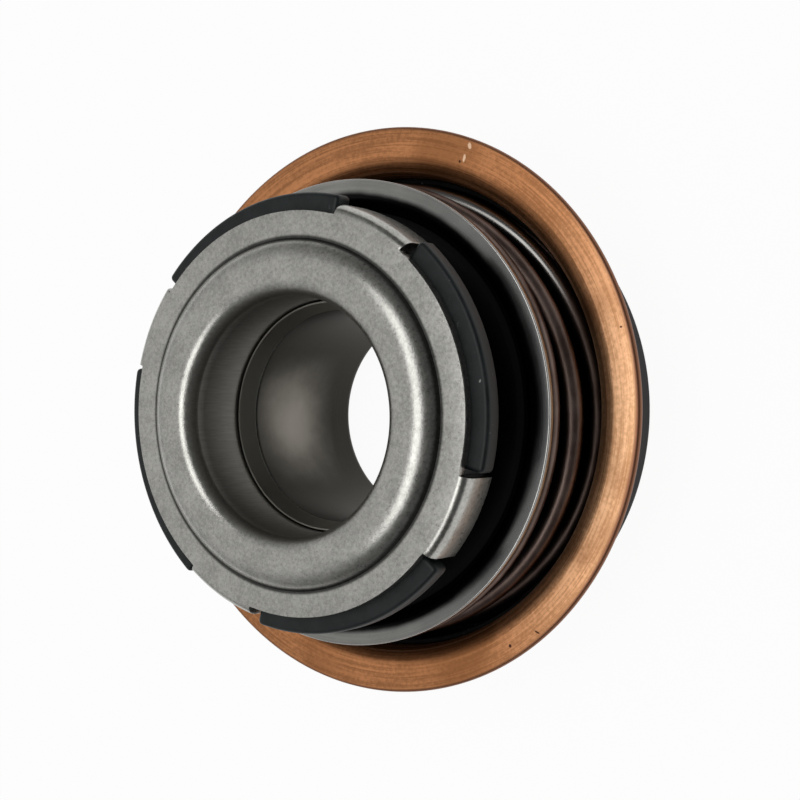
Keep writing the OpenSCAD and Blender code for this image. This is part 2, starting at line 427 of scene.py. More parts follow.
@dataclass(frozen=True)
class GrainySteel:
    """Stamped stainless sheet with a blasted, speckled skin, a drawn wall in its throat, and some
    painted shade.
    """

    name: str
    foot_r: float
    ring_z: float
    throat_r: float
    throat_z: float
    pale: Colour = (0.50, 0.495, 0.462)
    dark: Colour = (0.31, 0.307, 0.285)
    throat: Colour = (0.26, 0.25, 0.228)
    foot_shade: float = 0.85

    def material(self) -> bpy.types.Material:
        """Builds the finish.

        Returns:
            The material.
        """
        g = Graph(self.name)
        at = Place(g)
        fine = g.noise(at.point, scale=3.4, detail=4.0, rough=0.7)
        speck = g.noise(at.point, scale=8.0)
        broad = g.noise(at.point, scale=0.5, detail=3.0, rough=0.55)
        grain = g.step(fine * 0.5 + speck * 0.25 + broad * 0.25, 0.36, 0.64)
        # The throat and the lip's inner side take a darker colour: partly the drawn finish, partly
        # painted shade of the bore.
        inside = (1.0 - g.step(at.r, self.throat_r, self.throat_r + 0.15)) * (
            1.0 - g.step(at.z, self.throat_z - 0.2, self.throat_z + 0.2)
        )
        upright_axes = {0: at.x * 7.0, 1: at.y * 7.0, 2: at.z * 0.5}
        upright = g.node("ShaderNodeCombineXYZ", inputs=upright_axes)
        streak = g.noise(upright, scale=1.0, detail=3.0, rough=0.6)
        skin = g.mix(grain, self.dark, self.pale)
        drawn = g.shade(self.throat, 0.7 + 0.6 * streak)
        # Painted shade: a dark band along the bead's foot, where the bead meets the ring.
        front = g.step(at.z, self.ring_z - 0.3, self.ring_z - 0.05)
        foot = g.band(at.r, self.foot_r - 0.02, half=0.1, soft=0.24) * front
        colour = g.shade(g.mix(inside, skin, drawn), 1.0 - self.foot_shade * foot)
        height = (fine * 0.009 + speck * 0.006) * (1.0 - 0.85 * inside) + streak * 0.004 * inside
        rough = 0.23 + 0.12 * fine + 0.2 * inside
        return g.finish(Base_Color=colour, Metallic=1.0, Roughness=rough, Normal=g.bump(height))


@dataclass(frozen=True)
class PaintedPatch:
    """A broad patch painted lighter or darker than the steel round it, as painted light or shade.
    """

    colour: Colour
    angle: float
    height: float
    half_angle: float
    half_height: float

    def mask(self, at: Place) -> Signal:
        """Masks the patch.

        Args:
            at: Where the surface lies.

        Returns:
            1 in the middle of the patch, falling softly to 0.
        """
        g = at.graph
        smear = g.noise(at.point, scale=0.35, detail=3.0, rough=0.6)
        aside = at.away(self.angle) / self.half_angle + 0.5 * smear - 0.25
        above = abs(at.z - self.height) / self.half_height + 0.4 * smear - 0.2
        return (1.0 - g.step(aside, 0.0, 1.6)) * (1.0 - g.step(above, 0.0, 1.5))


@dataclass(frozen=True)
class PaintedZone:
    """A ring of the surface, between two radii and two heights, painted as light or shade."""

    colour: Colour
    inner_r: float = 0.0
    outer_r: float = 99.0
    low_z: float = -99.0
    high_z: float = 99.0
    soft: float = 0.05

    def mask(self, at: Place, stray: Signal) -> Signal:
        """Masks the zone.

        Args:
            at: Where the surface lies.
            stray: Noise about 0.5 that makes the border uneven.

        Returns:
            1 in the zone, falling softly to 0 beside it.
        """
        g = at.graph
        r = at.r + (stray - 0.5) * self.soft
        z = at.z + (stray - 0.5) * self.soft
        across = self._between(g, r, self.inner_r, self.outer_r)
        return across * self._between(g, z, self.low_z, self.high_z)

    def _between(self, g: Graph, value: Signal, low: float, high: float) -> Signal:
        """Masks what lies between two values.

        Args:
            g: The material's graph.
            value: The measured value.
            low: The least value.
            high: The greatest value.

        Returns:
            1 between them, falling softly to 0 beside them.
        """
        return g.step(value, low - self.soft, low) - g.step(value, high, high + self.soft)


@dataclass(frozen=True)
class DrawnSteel:
    """Smooth drawn or turned steel with fine lines round the axis, and painted light and shade."""

    name: str
    pale: Colour
    dark: Colour
    roughness: float
    painted_patch: PaintedPatch
    painted_zones: Sequence[PaintedZone]
    grazing: Colour = (1.0, 1.0, 1.0)

    def material(self) -> bpy.types.Material:
        """Builds the finish.

        Returns:
            The material.
        """
        g = Graph(self.name)
        at = Place(g)
        line = g.noise(at.turned(across=6.0, along=0.12), scale=1.0, detail=4.0, rough=0.65)
        broad = g.noise(at.point, scale=0.22, detail=3.0, rough=0.6)
        fine = g.noise(at.point, scale=6.0)
        tone = g.step(line * 0.5 + broad * 0.35 + fine * 0.15, 0.25, 0.75)
        colour = g.mix(tone, self.dark, self.pale)
        # Painted light or painted shade: a broad patch lighter or darker than the steel round it.
        colour = g.mix(self.painted_patch.mask(at), colour, self.painted_patch.colour)
        # Painted light and painted shade in rings of the surface.
        for zone in self.painted_zones:
            colour = g.mix(zone.mask(at, broad), colour, zone.colour)
        rough = self.roughness + 0.12 * line + 0.10 * broad - 0.11
        height = line * 0.0025 + fine * 0.0015
        return g.finish(
            Base_Color=colour, Metallic=1.0, Roughness=rough, Specular_Tint=self.grazing,
            Normal=g.bump(height),
        )


@dataclass(frozen=True)
class SpringWire:
    """Drawn wire with a brown, uneven oxide, painted shade low in the case, and one painted
    highlight.
    """

    name: str
    pale: Colour = (0.21, 0.155, 0.135)
    dark: Colour = (0.10, 0.067, 0.055)
    grazing: Colour = (0.25, 0.24, 0.23)
    deep_shade: float = 0.45
    deep_shade_z: Point = (7.5, 10.5)
    painted_light: Colour = (0.22, 0.215, 0.205)
    highlight_angle: float = -7.0
    highlight_reach: Point = (12.0, 34.0)
    highlight_z: Point = (7.5, 10.9)

    def material(self) -> bpy.types.Material:
        """Builds the finish.

        Returns:
            The material.
        """
        g = Graph(self.name)
        at = Place(g)
        draw = g.noise(at.turned(across=4.0, along=0.15), scale=1.0, detail=3.0, rough=0.6)
        broad = g.noise(at.point, scale=0.5, detail=3.0, rough=0.6)
        colour = g.mix(g.step(draw * 0.5 + broad * 0.5, 0.3, 0.7), self.dark, self.pale)
        # Painted shade: the wire is darker low in the case.
        colour = g.shade(colour, self.deep_shade + (1.0 - self.deep_shade) * g.step(at.z, *self.deep_shade_z))
        # Painted highlight: a lighter, smoother run along the second coil.
        low_z, high_z = self.highlight_z
        half = (high_z - low_z) / 2
        second_coil = g.band(at.z, low_z + half, half - 0.2, soft=0.4)
        painted_light = (1.0 - g.step(at.away(self.highlight_angle), *self.highlight_reach)) * second_coil
        colour = g.mix(painted_light, colour, self.painted_light)
        rough = 0.3 + 0.2 * broad - 0.18 * painted_light
        return g.finish(
            Base_Color=colour, Metallic=1.0, Roughness=rough, Specular_Tint=self.grazing,
            Normal=g.bump(draw * 0.002),
        )


@dataclass(frozen=True)
class TurnedCopper:
    """Copper flange with turning lines, a painted golden highlight, and a dark sealing coat on its
    body.
    """

    name: str
    wall_r: float
    flange_r: float
    dish_r: float
    face_z: float
    back_z: float
    pale: Colour = (0.63, 0.28, 0.12)
    dark: Colour = (0.39, 0.168, 0.07)
    gold_highlight_pale: Colour = (0.94, 0.57, 0.33)
    gold_highlight_dark: Colour = (0.56, 0.30, 0.15)
    gold_highlight_angle: float = -70.0
    gold_highlight_reach: Point = (10.0, 72.0)
    brown: Colour = (0.27, 0.105, 0.038)
    bare: Colour = (0.90, 0.62, 0.42)
    grime: Colour = (0.07, 0.03, 0.02)
    edge: Colour = (0.26, 0.12, 0.07)
    coat: Colour = (0.022, 0.018, 0.019)
    nicks: Sequence[Mark] = (
        Mark(21.45, 5.8, length=0.56, width=0.36, turn=35.0),
        Mark(20.5, 6.1, length=0.7, width=0.27, turn=8.0),
    )
    specks: Sequence[Mark] = (
        Mark(20.15, 6.9, length=0.25, width=0.22),
        Mark(21.4, -111.2, length=0.55, width=0.18, turn=25.0),
        Mark(20.97, -118.1, length=0.34, width=0.3),
        Mark(21.34, -45.3, length=0.22, width=0.2),
    )
    dish_slope: float = 0.085

    def material(self) -> bpy.types.Material:
        """Builds the finish.

        Returns:
            The material.
        """
        g = Graph(self.name)
        at = Place(g)
        line = g.noise(at.turned(across=4.6, along=0.10), scale=1.0, detail=4.0, rough=0.7)
        broad = g.noise(at.point, scale=0.16, detail=3.0, rough=0.6)
        fine = g.noise(at.point, scale=3.2, detail=4.0, rough=0.7)
        tone = g.step(line * 0.55 + broad * 0.15 + fine * 0.3, 0.42, 0.58)
        # Painted highlight: the flange is lighter and more golden on one side.
        gold_highlight = 1.0 - g.step(at.away(self.gold_highlight_angle) + 20.0 * broad, *self.gold_highlight_reach)
        plain = g.mix(tone, self.dark, self.pale)
        copper = g.mix(gold_highlight, plain, g.mix(tone, self.gold_highlight_dark, self.gold_highlight_pale))
        stain = g.step(g.noise(at.point, scale=0.11), 0.52, 0.68)
        copper = g.mix(stain * 0.55, copper, self.brown)
        behind = 1.0 - g.step(at.z, self.back_z - 0.05, self.back_z + 0.05)
        outside = g.step(at.r, self.wall_r - 0.05, self.wall_r + 0.05)
        coated = behind * outside * (1.0 - g.step(at.r, self.dish_r, self.dish_r + 0.2))
        outward = at.r + 0.15 * fine + 0.18 * gold_highlight
        worn = g.step(outward, self.flange_r - 0.25, self.flange_r + 0.05)
        colour = g.mix(coated, g.mix(worn, copper, self.edge), self.coat)
        for marks, tint in ((self.nicks, self.bare), (self.specks, self.grime)):
            for mark in marks:
                colour = g.mix(mark.mask(at, self.face_z), colour, tint)
        dish = ((at.r - self.dish_r) | 0.0) * self.dish_slope
        height = line * 0.005 * (1.0 - coated) + fine * 0.006 - dish
        rough = 0.36 + 0.16 * line + 0.05 * fine + 0.12 * coated
        return g.finish(
            Base_Color=colour, Metallic=1.0 - coated, Roughness=rough, Specular_IOR_Level=0.15,
            Normal=g.bump(height),
        )


@dataclass(frozen=True)
class MouldedRubber:
    """Moulded black rubber, a little green, with a dusty, faintly pitted skin."""

    name: str
    dark: Colour = (0.0045, 0.007, 0.0075)
    pale: Colour = (0.010, 0.0135, 0.014)
    roughness: float = 0.46
    specular: float = 0.3
    dust: Colour = (0.25, 0.25, 0.24)
    specks: Sequence[Mark] = ()
    specks_z: float = 0.0

    def material(self) -> bpy.types.Material:
        """Builds the finish.

        Returns:
            The material.
        """
        g = Graph(self.name)
        at = Place(g)
        broad = g.noise(at.point, scale=0.8, detail=4.0, rough=0.6)
        fine = g.noise(at.point, scale=7.0)
        dust = g.step(g.noise(at.point, scale=3.0, detail=1.0, rough=0.5), 0.74, 0.78)
        colour = g.mix(g.step(broad, 0.35, 0.65), self.dark, self.pale)
        colour = g.mix(dust * 0.2, colour, self.dust)
        for mark in self.specks:
            colour = g.mix(mark.mask(at, self.specks_z), colour, self.dust)
        rough = self.roughness + 0.2 * broad - 0.1
        return g.finish(
            Base_Color=colour, Roughness=rough, Specular_IOR_Level=self.specular,
            Normal=g.bump(fine * 0.006 + broad * 0.01),
        )


@dataclass(frozen=True)
class DullCeramic:
    """Dark lapped face material, carbon or ceramic, with faint turning lines."""

    name: str
    # The near-black default is partly painted shade: the carbon's face lies in the dark between the
    # lugs and the shell.
    colour: Colour = (0.006, 0.006, 0.0065)
    roughness: float = 0.5

    def material(self) -> bpy.types.Material:
        """Builds the finish.

        Returns:
            The material.
        """
        g = Graph(self.name)
        at = Place(g)
        line = g.noise(at.turned(across=6.0, along=0.2), scale=1.0, detail=3.0, rough=0.6)
        fine = g.noise(at.point, scale=8.0)
        colour = g.shade(self.colour, 0.75 + 0.5 * fine)
        rough = self.roughness + 0.15 * line - 0.07
        height = line * 0.002 + fine * 0.002
        return g.finish(
            Base_Color=colour, Roughness=rough, Specular_IOR_Level=0.15,
            Normal=g.bump(height),
        )


def arc(centre: Point, radius: float, start: float, end: float, steps: int = 12) -> list[Point]:
    """Points on an arc in the plane of radius and height.

    Args:
        centre: The arc's centre, as radius and height in millimetres.
        radius: The arc's own radius.
        start: The first point's angle in degrees.
        end: The last point's angle in degrees.
        steps: Number of stretches.

    Returns:
        The points in order.
    """
    turns = (math.radians(start + (end - start) * i / steps) for i in range(steps + 1))
    return [(centre[0] + radius * math.cos(t), centre[1] + radius * math.sin(t)) for t in turns]


def finished(name: str, bm: bmesh.types.BMesh) -> bpy.types.Mesh:
    """Ends a mesh in the making.

    Args:
        name: The mesh's name.
        bm: The mesh in the making, which is freed.

    Returns:
        The finished mesh.
    """
    mesh = bpy.data.meshes.new(name)
    bm.to_mesh(mesh)
    bm.free()
    return mesh


def add_object(name: str, data: bpy.types.ID) -> bpy.types.Object:
    """Puts a mesh, lamp or camera in the scene.

    Args:
        name: The object's name.
        data: What it shows.

    Returns:
        The object.
    """
    made = bpy.data.objects.new(name, data)
    bpy.context.scene.collection.objects.link(made)
    return made


class Lathe:
    """A mesh in the making, turned about the shaft's axis in millimetres."""

    STEPS_ROUND = 240
    TOUCHING = 1e-4

    def __init__(self) -> None:
        """Starts with nothing on the lathe."""
        self.bm = bmesh.new()

    def turn(
        self,
        outline: Sequence[Point],
        closed: bool = True,
        start: float = 0.0,
        sweep: float = 360.0,
        bends: Optional[dict[int, float]] = None,
        bend_segments: int = 6,
    ) -> None:
        """Turns an outline about the axis.

        Args:
            outline: Its corners, as radius and height.
            closed: True for a solid's section, False for a sheet's centre line.
            start: Angle of its first place, in degrees.
            sweep: How far it turns, in degrees.
            bends: How much is cut off each rounded corner, by the corner's number.
            bend_segments: Number of stretches in each rounded corner.
        """
        bm = bmesh.new()
        spot = Matrix.Rotation(math.radians(start), 3, "Z")
        corners = [bm.verts.new(spot @ Vector((r, 0.0, z))) for r, z in outline]
        if closed:
            bm.faces.new(corners)
        else:
            for one, two in zip(corners, corners[1:]):
                bm.edges.new((one, two))
        for index, cut in (bends or {}).items():
            bmesh.ops.bevel(
                bm, geom=[corners[index]], offset=cut, offset_type="OFFSET", segments=bend_segments,
                profile=0.5, affect="VERTICES", material=-1,
            )
        full = abs(sweep) >= 360.0
        if closed and full:
            bmesh.ops.delete(bm, geom=bm.faces[:], context="FACES_ONLY")
        steps = max(1, round(self.STEPS_ROUND * abs(sweep) / 360.0))
        bmesh.ops.spin(
            bm, geom=bm.verts[:] + bm.edges[:] + bm.faces[:], cent=ORIGIN, axis=UP,
            angle=math.radians(sweep), steps=steps, use_merge=full, use_duplicate=False,
        )
        self.take(bm)

    def take(self, bm: bmesh.types.BMesh) -> None:
        """Takes in another mesh.

        Args:
            bm: The other mesh, which is freed.
        """
        mesh = finished("turned", bm)
        self.bm.from_mesh(mesh)
        bpy.data.meshes.remove(mesh)

    def weld(self) -> None:
        """Merges touching points and turns all faces outwards."""
        bmesh.ops.remove_doubles(self.bm, verts=self.bm.verts[:], dist=self.TOUCHING)
        bmesh.ops.recalc_face_normals(self.bm, faces=self.bm.faces[:])

    def ease(self, width: float, degrees: float = 40.0, segments: int = 5) -> None:
        """Rounds the edges between faces that meet at an angle.

        Args:
            width: Width of the rounding, in millimetres.
            degrees: The least angle.
            segments: Number of stretches across the rounding.
        """
        least = math.radians(degrees)
        edges = [e for e in self.bm.edges if len(e.link_faces) == 2 and e.calc_face_angle() > least]
        bmesh.ops.bevel(
            self.bm, geom=edges, offset=width, offset_type="OFFSET", segments=segments,
            profile=0.5, affect="EDGES", clamp_overlap=True, material=-1,
        )
        bmesh.ops.recalc_face_normals(self.bm, faces=self.bm.faces[:])


class Piece:
    """What every modelled piece does: become an object, ride on its body, take its finish."""

    SMOOTH_BELOW = 32.0
    EASE_ABOVE = 50.0

    name = "piece"
    nodes: tuple[str, ...] = ()
    slot = ""
    body = Body.HOUSING

    def attach(self, piece: bpy.types.Object) -> None:
        """Sets the object on its body.

        Args:
            piece: The piece's object.
        """
        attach(piece, self.body.value)

    def place(
        self, lathe: Lathe, material: bpy.types.Material, sheet: float = 0.0, easing: float = 0.0
    ) -> bpy.types.Object:
        """Makes the object from its mesh and sets it in the seal.

        Args:
            lathe: The finished mesh, in millimetres.
            material: Its finish.
            sheet: Thickness given to a centre surface, or 0 for a solid.
            easing: Rounding of a sheet's cut edges.

        Returns:
            The object, on its body.
        """
        bmesh.ops.scale(lathe.bm, vec=(MM, MM, MM), verts=lathe.bm.verts[:])
        piece = add_object(self.name, finished(self.name, lathe.bm))
        if sheet:
            self._thicken(piece, sheet, easing)
        piece.data.materials.clear()
        piece.data.materials.append(material)
        piece.data.shade_smooth()
        piece.data.set_sharp_from_angle(angle=math.radians(self.SMOOTH_BELOW))
        self.attach(piece)
        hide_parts(*self.nodes)
        log.info("%s: %d faces", self.name, len(piece.data.polygons))
        return piece

    def _thicken(self, piece: bpy.types.Object, sheet: float, easing: float) -> None:
        """Gives a centre surface its sheet thickness and eased edges, and applies both.

        Args:
            piece: The object with the centre surface.
            sheet: The sheet's thickness in millimetres.
            easing: Rounding of its cut edges in millimetres.
        """
        solid = piece.modifiers.new("sheet", "SOLIDIFY")
        solid.thickness = sheet * MM
        solid.offset = 0.0
        solid.use_even_offset = True
        if easing:
            bevel = piece.modifiers.new("eased", "BEVEL")
            bevel.width = easing * MM
            bevel.segments = 3
            bevel.limit_method = "ANGLE"
            bevel.angle_limit = math.radians(self.EASE_ABOVE)
        graph = bpy.context.evaluated_depsgraph_get()
        done = bpy.data.meshes.new_from_object(piece.evaluated_get(graph))
        piece.modifiers.clear()
        old = piece.data
        piece.data = done
        done.name = piece.name
        bpy.data.meshes.remove(old)


@dataclass
class DriveCollar(Piece):
    """The stamped collar: skirt, rolled lip, domed bead, flat ring, and tabs over the cup."""

    sleeve_r: float = 8.7
    sheet: float = 0.8
    lip_r: float = 1.3
    crown_z: float = 22.33
    ring_z: float = 21.24
    bead_h: float = 1.09
    crown_r: float = 10.8
    foot_r: float = 12.73
    ring_r: float = 14.64
    tab_r: float = 15.40
    tab_bend: float = 1.1
    tab_len: float = 3.45
    tab_angle: float = 24.0
    tabs: int = 4
    skirt_len: float = 7.35
    throat_step: float = 0.03
    throat_step_z: float = 20.35
    throat_step_h: float = 0.1
    foot_fillet: float = 0.3
    easing: float = 0.09

    name = "collar"
    nodes = ("drive_collar",)
    slot = "collar_steel"
    body = Body.ROTOR

    def build(self) -> bpy.types.Object:
        """Models the collar's centre surface and gives it its sheet.

        Returns:
            The collar.
        """
        half = self.sheet / 2
        wall_r = self.sleeve_r + half
        ring_mid = self.ring_z - half
        # The dome is an arc that lies level at the crown and meets the ring at the foot.
        slope = 2 * math.atan2(self.bead_h, self.foot_r - self.crown_r)
        dome_r = self.bead_h / (1 - math.cos(slope))
        dome_z = self.crown_z - dome_r
        foot = math.degrees(math.asin((ring_mid - dome_z) / (dome_r - half)))
        rise = self.throat_step_h / 2
        lip_centre = (self.sleeve_r + self.lip_r, self.crown_z - self.lip_r)
        main = (
            [(wall_r, self.ring_z - self.skirt_len), (wall_r, self.throat_step_z - rise)]
            + [(wall_r + self.throat_step, self.throat_step_z + rise)]
            + arc(lip_centre, self.lip_r - half, start=176, end=90, steps=14)
            + arc((self.crown_r, dome_z), dome_r - half, start=88, end=foot, steps=18)
            + [(self.ring_r, ring_mid)]
        )
        lathe = Lathe()
        lathe.turn(main, closed=False, bends={len(main) - 2: self.foot_fillet}, bend_segments=4)
        tab_mid, tab_cut = self.tab_r - half, self.tab_bend - half
        tab = [(self.ring_r, ring_mid), (tab_mid, ring_mid), (tab_mid, self.ring_z - self.tab_len)]
        for i in range(self.tabs):
            start = i * 360.0 / self.tabs - self.tab_angle / 2
            lathe.turn(tab, closed=False, start=start, sweep=self.tab_angle, bends={1: tab_cut})
        lathe.weld()
        finish = GrainySteel(
            "grainy_steel", foot_r=self.foot_r, ring_z=self.ring_z, throat_r=wall_r + 0.05,
            throat_z=self.crown_z - self.lip_r / 3,
        )
        return self.place(lathe, finish.material(), self.sheet, self.easing)


@dataclass
class ShaftSleeve(Piece):
    """The drawn sleeve, rounded inside its mouth and flared at its rear end."""

    bore_r: float = 7.95
    wall: float = 0.75
    front_z: float = 16.39
    mouth_land: float = 0.25
    mouth_depth: float = 1.4
    flare_z: float = 1.2
    flare_r: float = 10.1
    edge: float = 0.12
    cone_edge: float = 0.08
    painted_light: Colour = (0.52, 0.51, 0.46)
    painted_shade: Colour = (0.012, 0.012, 0.011)
    painted_shade_below: Point = (0.22, 0.02)
    seam_w: float = 0.13
    seam_h: float = 0.1

    name = "sleeve"
    nodes = ("shaft_sleeve",)
    slot = "sleeve_steel"
    body = Body.ROTOR

    def build(self) -> bpy.types.Object:
        """Models the sleeve's section and turns it.

        Returns:
            The sleeve.
        """
        outer = self.bore_r + self.wall
        mouth_z = self.front_z - self.mouth_depth
        neck_z = self.flare_z + self.wall
        outline = [
            (self.bore_r, mouth_z), (outer - self.mouth_land, self.front_z), (outer, self.front_z),
            (outer, neck_z), (self.flare_r, neck_z), (self.flare_r, self.flare_z),
            (self.bore_r, self.flare_z),
        ]
        bends = {
            0: self.cone_edge, 2: self.mouth_land * 0.6, 3: self.wall * 0.5,
            4: self.edge, 5: self.edge, 6: self.wall * 1.5,
        }
        lathe = Lathe()
        lathe.turn(outline, bends=bends)
        lathe.weld()
        # Painted shade: the very dark base colours, a band below the mouth, and the land at the
        # collar's joint. Painted light: the mouth's cone and a painted reflection down one side of
        # the bore.
        shade_foot, shade_top = self.painted_shade_below
        seam_r, seam_z = outer - self.seam_w, self.front_z - self.seam_h
        finish = DrawnSteel(
            "drawn_sleeve", pale=(0.034, 0.032, 0.028), dark=(0.018, 0.017, 0.015), roughness=0.38,
            grazing=(0.72, 0.71, 0.69),
            painted_patch=PaintedPatch(
                (0.24, 0.222, 0.195), angle=121.0, height=10.2, half_angle=28.0, half_height=4.0
            ),
            painted_zones=(
                PaintedZone(self.painted_light, low_z=mouth_z),
                PaintedZone(self.painted_shade, low_z=mouth_z - shade_foot, high_z=mouth_z - shade_top),
                PaintedZone(self.painted_shade, inner_r=seam_r, low_z=seam_z, soft=0.03),
            ),
        )
        return self.place(lathe, finish.material())


@dataclass
class SeatCup(Piece):
    """The rubber cup round the mating ring, with a lug in each notch between two tabs."""

    skirt_r: float = 9.53
    inner_z: float = 18.34
    seat_in_r: float = 10.2
    seat_out_r: float = 13.42
    floor_z: float = 19.60
    top_z: float = 20.44
    outer_z: float = 17.60
    cup_r: float = 14.57
    corner: float = 0.33
    rear_corner: float = 0.15
    lug_r: float = 16.0
    lug_h: float = 1.64
    lug_round: float = 0.55
    lug_angle: float = 62.8
    lugs: int = 4

    name = "cup"
    nodes = ("seat_cup",)
    slot = "cup_rubber"
    body = Body.ROTOR

    def build(self) -> bpy.types.Object:
        """Models the cup and its lugs.

        Returns:
            The cup.
        """
        section = [
            (self.skirt_r, self.top_z), (self.skirt_r, self.inner_z),
            (self.seat_in_r, self.inner_z), (self.seat_in_r, self.floor_z),
            (self.seat_out_r, self.floor_z), (self.seat_out_r, self.outer_z),
            (self.cup_r, self.outer_z), (self.cup_r, self.top_z),
        ]
        lathe = Lathe()
        lathe.turn(section, bends={7: self.corner, 6: self.rear_corner})
        lathe.weld()
        root = (self.seat_out_r + self.cup_r) / 2
        low = self.top_z - self.lug_h
        lug = [(root, self.top_z), (root, low), (self.lug_r, low), (self.lug_r, self.top_z)]
        for i in range(self.lugs):
            one = Lathe()
            middle = (i + 0.5) * 360.0 / self.lugs
            one.turn(lug, start=middle - self.lug_angle / 2, sweep=self.lug_angle)
            one.weld()
            one.ease(self.lug_round)
            lathe.take(one.bm)
        speck = Mark(15.49, -53.4, length=0.3, width=0.16, turn=60.0)
        finish = MouldedRubber("cup_rubber", specks=(speck,), specks_z=self.top_z)
        return self.place(lathe, finish.material())


@dataclass
class RingShell(Piece):
    """The sheet shell round the carbon ring, whose rim bears on the spring."""

    rim_r: float = 17.55
    wall_r: float = 15.9
    sheet: float = 0.6
    front_z: float = 14.5
    floor_z: float = 10.3
    floor_in_r: float = 11.1
    bend: float = 0.3
    easing: float = 0.1
    shade: Colour = (0.008, 0.008, 0.008)
    shade_w: float = 0.45
    painted_light: Colour = (0.45, 0.44, 0.42)
    highlight_w: float = 0.07

    name = "shell"
    nodes = ("ring_shell",)
    slot = "shell_steel"
    body = Body.FACE

    def build(self) -> bpy.types.Object:
        """Models the shell's centre surface and gives it its sheet.

        Returns:
            The shell.
        """
        half = self.sheet / 2
        line = [
            (self.rim_r, self.front_z - half), (self.wall_r - half, self.front_z - half),
            (self.wall_r - half, self.floor_z + half), (self.floor_in_r, self.floor_z + half),
        ]
        lathe = Lathe()
        cut = self.bend + half
        lathe.turn(line, closed=False, bends={1: cut, 2: cut})
        lathe.weld()
        # Painted shade: a broad dark patch on one side, and the inner bend, which is partly carbon
        # dust and partly painted shade. Painted highlight: a light band along the rim's edge.
        finish = DrawnSteel(
            "shell_steel", pale=(0.36, 0.355, 0.335), dark=(0.22, 0.22, 0.205), roughness=0.24,
            painted_patch=PaintedPatch(
                (0.115, 0.117, 0.115), angle=-66.0, height=14.5, half_angle=75.0,
                half_height=3.0,
            ),
            painted_zones=(
                PaintedZone(self.shade, outer_r=self.wall_r + self.shade_w, soft=0.5),
                PaintedZone(self.painted_light, inner_r=self.rim_r - self.highlight_w),
            ),
        )
        return self.place(lathe, finish.material(), self.sheet, self.easing)


@dataclass
class CoilSpring(Piece):
    """The spring: a closed coil at each end, and half turns between that sink or stay level."""

    wire: float = 1.5
    coil_r: float = 16.8
    start: float = 65.0
    top_z: float = 13.12
    pitch: float = 3.97
    closing: float = 3.2
    front_free: float = 78.8
    rear_free: float = 90.0
    sides: int = 28
    steps_per_turn: int = 180
    rear_seat: float = 1.23
    travel: float = 1.3
    lean: float = 0.34
    lean_angle: float = -20.0
    lean_z: float = 7.2
    lean_reach: float = 4.6
    lean_ease: float = 1.6

    name = "coil"
    nodes = ("spring",)
    slot = "spring_wire"
    body = Body.HOUSING

    def build(self) -> bpy.types.Object:
        """Sweeps the wire's section along the level and the sinking stretches.

        Returns:
            The spring.
        """
        lathe = Lathe()
        front = self._wire_end(lathe)
        self._sweep(lathe, front, 360.0 - self.front_free, 0.0, self.top_z, cap=True)
        ring = self._wire_end(lathe)
        level = self.top_z
        for drop in (self.pitch, self.pitch, self.closing):
            ring = self._sweep(lathe, ring, -180.0, drop, level)
            level -= drop
            last = drop == self.closing
            more = self.rear_free if last else 0.0
            ring = self._sweep(lathe, ring, -180.0 - more, 0.0, level, cap=last)
        lathe.weld()
        turn = Matrix.Rotation(math.radians(self.start), 3, "Z")
        bmesh.ops.rotate(lathe.bm, cent=ORIGIN, matrix=turn, verts=lathe.bm.verts[:])
        toward = Matrix.Rotation(math.radians(self.lean_angle), 3, "Z")
        aside = toward @ Vector((self.lean, 0.0, 0.0))
        for vert in lathe.bm.verts:
            share = 1.0 - abs(vert.co.z - self.lean_z) / self.lean_reach
            vert.co += aside * min(1.0, max(0.0, self.lean_ease * share))
        return self.place(lathe, SpringWire("spring_wire").material())

    def attach(self, piece: bpy.types.Object) -> None:
        """Sets the spring on its body and gives it a mesh of its own.

        Args:
            piece: The spring's object.
        """
        super().attach(piece)
        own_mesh(piece)

    def _wire_end(self, lathe: Lathe) -> list[bmesh.types.BMEdge]:
        """Draws the wire's section on the coil at +X.

        Args:
            lathe: The mesh to draw in.

        Returns:
            The section's edges.
        """
        out = Matrix.Translation((self.coil_r, 0.0, self.top_z))
        place = out @ Matrix.Rotation(math.pi / 2, 4, "X")
        made = bmesh.ops.create_circle(
            lathe.bm, cap_ends=False, radius=self.wire / 2, segments=self.sides, matrix=place
        )
        return list({e for v in made["verts"] for e in v.link_edges})

    def _sweep(
        self,
        lathe: Lathe,
        ring: Sequence[bmesh.types.BMEdge],
        sweep: float,
        drop: float,
        level: float,
        cap: bool = False,
    ) -> list[bmesh.types.BMEdge]:
        """Spins a section on about an axis that leans as far as the stretch sinks.

        Args:
            lathe: The mesh to work in.
            ring: The section's edges.
            sweep: How far it goes round, in degrees.
            drop: How far it sinks on half a turn.
            level: Height of the wire at the stretch's start.
            cap: True to close the wire's end.

        Returns:
            The edges of the section at the end.
        """
        lean = math.atan2(drop, 2 * self.coil_r)
        axis = Vector((-math.sin(lean), 0.0, math.cos(lean)))
        verts = list({v for e in ring for v in e.verts})
        done = bmesh.ops.spin(
            lathe.bm, geom=verts + list(ring), cent=(0, 0, level - drop / 2), axis=axis,
            angle=math.radians(sweep), steps=max(2, round(self.steps_per_turn * abs(sweep) / 360)),
            use_merge=False, use_duplicate=False,
        )
        end = [e for e in done["geom_last"] if isinstance(e, bmesh.types.BMEdge)]
        if cap:
            bmesh.ops.edgeloop_fill(lathe.bm, edges=end)
        return end


